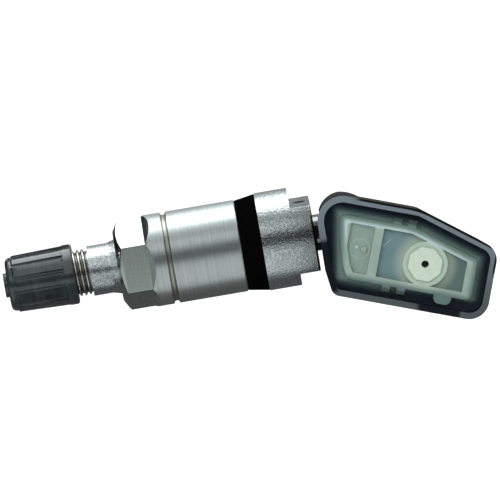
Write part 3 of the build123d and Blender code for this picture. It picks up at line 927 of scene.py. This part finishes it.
@dataclass
class ValveStem:
    """The stem with its two threads, the grommet and the valve core.

    Args:
        threads: The threads for the cap and the nut.
        cuts: Cuts round the stem, from the nut thread's first or last end.
        spring_seat: The core spring's still end along the axis; not used.
        spring_keep: The share of its length when pressed; not used.
        edges: Widths of the stem's and the grommet's softened edges.
    """

    threads: tuple[Thread, Thread] = (
        Thread("cap_thread", 3.38 * MM, 3.85 * MM, 0.794 * MM, (-35.5 * MM, -25.3 * MM), (1.2 * MM, 0.3 * MM)),
        Thread("nut_thread", 4.45 * MM, 5.0 * MM, MM, (-18.1 * MM, -3.1 * MM), (0.25 * MM, 0.15 * MM)),
    )
    cuts: tuple[tuple[int, float], ...] = ((0, -0.7 * MM), (0, -0.2 * MM), (1, 0.2 * MM))
    spring_seat: float = -26.3 * MM
    spring_keep: float = 0.755
    edges: Pair = (0.07 * MM, 0.12 * MM)

    def build(self) -> None:
        """Builds and dresses the stem's pieces."""
        mesh = copy_of("valve_stem")
        for end, away in self.cuts:
            place = (self.threads[1].span[end] + away, 0.0, 0.0)
            geometry = [*mesh.verts, *mesh.edges, *mesh.faces]
            bmesh.ops.bisect_plane(mesh, geom=geometry, plane_co=place, plane_no=(1.0, 0.0, 0.0))
        soften(mesh, self.edges[0])
        for thread in self.threads:
            thread.turn_down(mesh)
        put(mesh, "stem", BLASTED, Body.STEM, "valve_stem")
        for thread in self.threads:
            put(thread.ridge(), thread.name, BLASTED, Body.STEM)
        stand_in("rim_grommet", "grommet", RUBBER, Body.STEM, self.edges[1])
        spring = stand_in("core_spring", "spring", SPRING, Body.STEM)
        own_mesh(spring)
        dress(BRASS, "core_housing", "core_pin", "core_cup")
        dress(RED_SEAL, "core_gasket")
        dress(RUBBER, "core_seat_seal")


@dataclass
class ClampNut:
    """The long nut with its hexagon.

    Args:
        edge: Width of the softened edges.
        sharp_deg: Edges that turn by more are softened.
    """

    edge: float = 0.06 * MM
    sharp_deg: float = 20.0

    def build(self) -> None:
        """Builds and dresses the nut."""
        stand_in("hex_nut", "nut", TURNED, Body.NUT, self.edge, angle_deg=self.sharp_deg)


@dataclass
class ValveCap:
    """The ribbed cap and its seal.

    Args:
        edge: Width of the softened edges.
    """

    edge: float = 0.2 * MM

    def build(self) -> None:
        """Builds and dresses the cap."""
        stand_in("valve_cap", "cap", SMOKED, Body.CAP, self.edge, segments=3)
        dress(RUBBER, "cap_seal")


@dataclass
class SensorBody:
    """The ball joint, the cup and what lies in the resin.

    Args:
        ball_x: The ball's centre along the valve axis.
        angle_deg: The body's tilt about the ball's centre.
        port: The port's place in millimetres.
        carrier_sides: Outward direction and distance of the carrier's sides, in millimetres.
        carrier_round: Rounding where two sides meet, in millimetres.
        surface: The resin's surface along Y.
        clear: Thickness of the clear resin.
        deep: Where the black resin starts along Y, and its thickness.
        creep: Width and rise of the resin's border at the cup's wall.
        edges: Widths of the cup's, the carrier's and the port's softened edges.
    """

    ball_x: float = 16.4 * MM
    angle_deg: float = 20.0
    port: Pair = (14.42, -2.58)
    carrier_sides: tuple[Triple, ...] = (
        (0.0, 1.0, 3.1), (0.0, -1.0, 7.2), (1.0, 0.0, 22.82),
        (0.2924, 0.9563, 6.365), (-0.9834, -0.1814, 0.2048),
    )
    carrier_round: float = 0.8
    surface: float = -8.6 * MM
    clear: float = 1.9 * MM
    deep: Pair = (-6.95 * MM, 0.8 * MM)
    creep: Pair = (0.35 * MM, 0.22 * MM)
    edges: Triple = (0.1 * MM, 0.22 * MM, 0.12 * MM)

    def surface_face(self) -> Mesh:
        """The resin's surface as one open face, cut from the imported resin.

        Returns:
            The open mesh.
        """
        mesh = copy_of("potting")
        others = [face for face in mesh.faces if face.calc_center_median().y > self.surface + 0.02 * MM]
        bmesh.ops.delete(mesh, geom=others, context="FACES")
        return mesh

    def thicken(self, mesh: Mesh, depth: float) -> None:
        """Closes an open face to a slab.

        Args:
            mesh: The open mesh that is changed.
            depth: The slab's thickness along +Y.
        """
        made = bmesh.ops.extrude_face_region(mesh, geom=list(mesh.faces), use_keep_orig=True)
        moved = [part for part in made["geom"] if isinstance(part, bmesh.types.BMVert)]
        bmesh.ops.translate(mesh, verts=moved, vec=(0.0, depth, 0.0))

    def local(self, mesh: Mesh) -> None:
        """Moves a mesh from the body's own millimetres to its place in the frame.

        Args:
            mesh: The mesh that is changed.
        """
        turn = Matrix.Rotation(math.radians(self.angle_deg), 4, "Y")
        place = Matrix.Translation((self.ball_x, 0.0, 0.0)) @ turn @ Matrix.Scale(MM, 4)
        bmesh.ops.transform(mesh, matrix=place, verts=mesh.verts)

    def ring(self, centre: Pair, inner: float, outer: float, front: float, back: float) -> Mesh:
        """A flat ring in the potted face, in millimetres.

        Args:
            centre: Its centre.
            inner: Inner radius.
            outer: Outer radius.
            front: Front depth.
            back: Back depth.

        Returns:
            The ring in its place.
        """
        mesh = bmesh.new()
        x, z = centre
        corners = ((inner, front), (outer, front), (outer, back), (inner, back))
        verts = [mesh.verts.new((x + radius, depth, z)) for radius, depth in corners]
        edges = [mesh.edges.new((verts[index - 1], verts[index])) for index in range(len(verts))]
        bmesh.ops.spin(
            mesh, geom=verts + edges, cent=(x, 0.0, z), axis=(0.0, 1.0, 0.0), angle=math.tau, steps=72,
            use_merge=True, use_duplicate=False,
        )
        self.local(mesh)
        return mesh

    def wire(self, start: Vector, end: Vector, radius: float) -> Mesh:
        """A straight wire, in millimetres.

        Args:
            start: Its first end.
            end: Its other end.
            radius: Its radius.

        Returns:
            The wire in its place.
        """
        mesh = bmesh.new()
        run = end - start
        turn = run.to_track_quat("Z", "Y").to_matrix().to_4x4()
        place = Matrix.Translation(start + run / 2) @ turn
        bmesh.ops.create_cone(
            mesh, cap_ends=True, segments=16, radius1=radius, radius2=radius, depth=run.length, matrix=place
        )
        self.local(mesh)
        return mesh

    def build_resin(self) -> None:
        """Builds the clear surface of the resin and the dark depth behind it."""
        width, rise = self.creep
        mesh = self.surface_face()
        outer = {vert for edge in mesh.edges if edge.is_boundary for vert in edge.verts}
        bmesh.ops.inset_region(mesh, faces=list(mesh.faces), thickness=width, use_even_offset=True)
        for vert in outer:
            vert.co.y -= rise
        self.thicken(mesh, self.clear)
        put(mesh, "resin_surface", CLEAR, Body.SENSOR, "potting")
        mesh = self.surface_face()
        bmesh.ops.translate(mesh, verts=mesh.verts, vec=(0.0, self.deep[0] - self.surface, 0.0))
        self.thicken(mesh, self.deep[1])
        put(mesh, "resin_depth", DEEP, Body.SENSOR, "potting")

    def build(self) -> None:
        """Builds and dresses the sensor body."""
        cup, carrier, port = self.edges
        stand_in("sensor_housing", "cup", CUP, Body.SENSOR, cup)
        self.build_resin()
        stand_in("carrier_frame", "carrier", CARRIER, Body.SENSOR, carrier, segments=3)
        for name, finish, centre, *sizes in (
            ("port_collar", CARRIER, self.port, 2.55, 3.05, -8.22, -7.0),
            ("floor_ring", MARK, (3.45, -2.05), 1.5, 1.72, -7.24, -7.05),
            ("gate_mark", BOSS, (2.95, -1.85), 0.08, 0.26, -7.4, -7.05),
        ):
            put(self.ring(centre, *sizes), name, finish, Body.SENSOR)
        wire = self.wire(Vector((7.1, -7.0, -1.0)), Vector((8.5, -7.0, 0.6)), 0.08)
        put(wire, "lead_wire", FAINT, Body.SENSOR)
        stand_in("port_boss", "port", BOSS, Body.SENSOR, port)
        stand_in("ball_stud", "stud", POLISHED, Body.STEM)
        stand_in("ball_retainer", "retainer", CHIP, Body.SENSOR)
        dress(MEMBRANE, "port_filter")
        dress(CHIP, "pressure_chip")
        dress(BOARD, "circuit_board")
        dress(PLATED, "crystal", "antenna", "battery_cell", "battery_tab_negative", "battery_tab_positive")
        dress(CERAMIC, "capacitors")
        dress(FERRITE, "lf_coil")


# Studio
def seen_rays(bench: Bench) -> Socket:
    """A mask of what the camera, metal and glass see.

    Args:
        bench: The tree that is built.

    Returns:
        1 for camera, glossy and transmission rays, otherwise 0.
    """
    path = bench.add("ShaderNodeLightPath")
    seen = bench.calc("MAXIMUM", path["Is Camera Ray"], path["Is Glossy Ray"])
    return bench.calc("MAXIMUM", seen, path["Is Transmission Ray"])


@dataclass(frozen=True)
class StageCard(Finish):
    """Light or dark card of the studio.

    Args:
        low: Strength at its low end.
        high: Strength at its high end.
        bottom: Height of the low end.
        top: Height of the high end.
    """

    low: float
    high: float
    bottom: float = 0.0
    top: float = 1.0

    def shader(self, bench: Bench, coords: Socket) -> Socket:
        """See Finish.shader for Args and Returns."""
        height = bench.add("ShaderNodeSeparateXYZ", {"Vector": coords})["Z"]
        strength = bench.spread(bench.ramp(height, self.bottom, self.top), self.low, self.high)
        return bench.add("ShaderNodeEmission", {"Strength": strength})[0]


@dataclass(frozen=True)
class PaleFloor(Finish):
    """Pale floor, lifted towards white where the camera, metal and glass see it.

    Args:
        colour: The floor's colour.
        lift: The light added for what is seen.
    """

    colour: Colour = (0.6, 0.6, 0.6)
    lift: float = 0.8

    def shader(self, bench: Bench, coords: Socket) -> Socket:
        """See Finish.shader for Args and Returns."""
        lit = bench.add("ShaderNodeBsdfDiffuse", {"Color": self.colour})[0]
        strength = bench.spread(seen_rays(bench), 0.0, self.lift)
        glow = bench.add("ShaderNodeEmission", {"Strength": strength})[0]
        return bench.add("ShaderNodeAddShader", {0: lit, 1: glow})[0]


@dataclass
class Studio:
    """Camera, floor, world and soft lights.

    Args:
        aim: The place at the picture's middle.
        elevation_deg: The camera's height above the valve axis.
        roll_deg: How far the valve axis rises to the right.
        width: The picture's width at the aim.
        lens: The lens in millimetres.
        floor: The floor's height.
        fill: The world's strength for soft light.
    """

    aim: Triple = (1.283 * MM, 0.0, -0.988 * MM)
    elevation_deg: float = 5.0
    roll_deg: float = 9.68
    width: float = 82.05 * MM
    lens: float = 600.0
    floor: float = -47.0 * MM
    fill: float = 0.45

    def card(self, name: str, finish: Finish, first: Pair, second: Pair, height: float, rise: Pair) -> Object:
        """Adds a four-sided card.

        Args:
            name: The card's name.
            finish: Its material.
            first: X and Y of its first lower corner.
            second: X and Y of its second lower corner.
            height: Z of both.
            rise: The way along Y and Z to its upper corners.

        Returns:
            The card.
        """
        mesh = bmesh.new()
        lower = [Vector((*corner, height)) for corner in (first, second)]
        upper = [corner + Vector((0.0, *rise)) for corner in reversed(lower)]
        mesh.faces.new([mesh.verts.new(corner) for corner in lower + upper])
        card = new_object(mesh, name, finish)
        return card

    def build_world(self) -> None:
        """White for what the camera, metal and glass see, soft grey for the light on the object."""
        world = bpy.data.worlds.new("studio")
        bpy.context.scene.world = world
        world.use_nodes = True
        world.node_tree.nodes.clear()
        bench = Bench(world.node_tree)
        strength = bench.spread(seen_rays(bench), self.fill, 1.0)
        back = bench.add("ShaderNodeBackground", {"Color": (1.0, 1.0, 1.0), "Strength": strength})[0]
        bench.add("ShaderNodeOutputWorld", {"Surface": back})

    def build_camera(self) -> None:
        """Places the camera as in the photograph."""
        data = bpy.data.cameras.new("photo_camera")
        data.lens = self.lens
        data.sensor_width = 36.0
        data.clip_start = 0.01
        distance = self.width / data.sensor_width * self.lens
        tilt = math.radians(self.elevation_deg)
        back = Vector((0.0, -math.cos(tilt), math.sin(tilt)))
        camera = bpy.data.objects.new("photo_camera", data)
        bpy.context.scene.collection.objects.link(camera)
        camera.location = Vector(self.aim) + back * distance
        roll = Quaternion((0.0, 0.0, 1.0), math.radians(-self.roll_deg))
        camera.rotation_euler = ((-back).to_track_quat("-Z", "Y") @ roll).to_euler()
        bpy.context.scene.camera = camera

    def build_cards(self) -> None:
        """Builds the floor, and the cards that are seen only in reflections."""
        far = 1.5
        self.card("floor", PaleFloor("pale_floor"), (-far, -far), (far, -far), self.floor, (2 * far, 0.0))
        low, high = self.floor + MM, 0.3
        near, side = -0.25, 0.6
        cap, cap_end = -0.043, -0.0285
        stud, stud_end = 0.0115, 0.0195
        wall = (0.0, 0.8 - low)
        # Name, lower corners, their height, way up, strengths and, where these differ, their heights
        for name, first, second, height, rise, *tone in (
            ("soft_box", (-0.1, -0.03), (0.4, -0.03), high, (0.2, 0.0), 4.0, 4.0),
            ("back_box", (-0.1, 0.17), (0.4, 0.17), high, (0.19, 0.0), 0.95, 0.95),
            ("floor_card", (-side, near), (side, near), low, (0.238, 0.0), 0.76, 0.76),
            ("floor_flag", (-side, -0.012), (side, -0.012), low, (0.612, 0.0), 0.11, 0.11),
            ("front_flag", (-side, near), (side, near), low, (0.0, 0.9 - low), 0.03, 0.4, 0.06, 0.14),
            ("back_flag", (-0.3, side), (side, side), low, (0.0, 1.2 - low), 0.06, 0.45, 0.05, 0.12),
            ("far_left_flag", (-side, 0.3), (-0.3, side), low, wall, 0.02, 0.3, 0.45, 0.8),
            ("left_flag", (-side, near), (-side, 0.3), low, wall, 0.04, 0.35, 0.35, 0.8),
            ("right_flag", (side, near), (side, side), low, wall, 0.25, 0.6, 0.2, 0.8),
            ("cap_flag", (cap, -0.06), (cap_end, -0.06), -0.03, (0.054, 0.0), 0.03, 0.03),
            ("cap_top_flag", (cap, 0.03), (cap_end, 0.03), 0.01, (0.0, 0.045), 0.03, 0.03),
            ("cap_card", (cap, -0.04), (cap_end, -0.04), 0.006, (0.0, 0.044), 0.85, 1.1, 0.0, 0.05),
            ("cap_glow", (cap, -0.04), (cap_end, -0.04), 0.05, (0.032, 0.025), 1.1, 4.0, 0.05, 0.075),
            ("stud_flag", (stud, -0.03), (stud_end, -0.03), -0.03, (0.0, 0.065), 0.02, 0.02),
            ("stud_low_flag", (stud, -0.03), (stud_end, -0.03), -0.03, (0.1, 0.0), 0.02, 0.02),
            ("front_box", (-0.4, near + MM), (0.4, near + MM), 0.108, (0.0, 0.142), 0.95, 0.95),
        ):
            card = self.card(name, StageCard(name, *tone), first, second, height, rise)
            card.visible_camera = card.visible_diffuse = False
            card.visible_shadow = card.visible_transmission = False

    def build_lamps(self) -> None:
        """Adds two soft lamps that face the object and stay out of reflections."""
        for name, place, size, power in (
            ("top_lamp", Vector((0.0, 0.08, 0.4)), (0.7, 0.4), 1.6),
            ("front_lamp", Vector((-0.1, -0.7, 0.25)), (0.6, 0.4), 2.3),
        ):
            data = bpy.data.lights.new(name, "AREA")
            data.shape = "RECTANGLE"
            data.size, data.size_y = size
            data.energy = power
            lamp = bpy.data.objects.new(name, data)
            bpy.context.scene.collection.objects.link(lamp)
            lamp.location = place
            lamp.rotation_euler = (Vector(self.aim) - place).to_track_quat("-Z", "Y").to_euler()
            lamp.visible_glossy = False

    def build(self) -> None:
        """Builds the studio."""
        bpy.context.scene.view_settings.view_transform = "Standard"
        self.build_world()
        self.build_camera()
        self.build_cards()
        self.build_lamps()


def main() -> None:
    """Builds every sub-assembly and the studio in order."""
    logging.basicConfig(level=logging.INFO, format="%(message)s")
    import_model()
    for assembly in (ValveStem(), ClampNut(), ValveCap(), SensorBody(), Studio()):
        assembly.build()
        LOG.info("built %s", type(assembly).__name__)


if __name__ == "__main__":
    main()
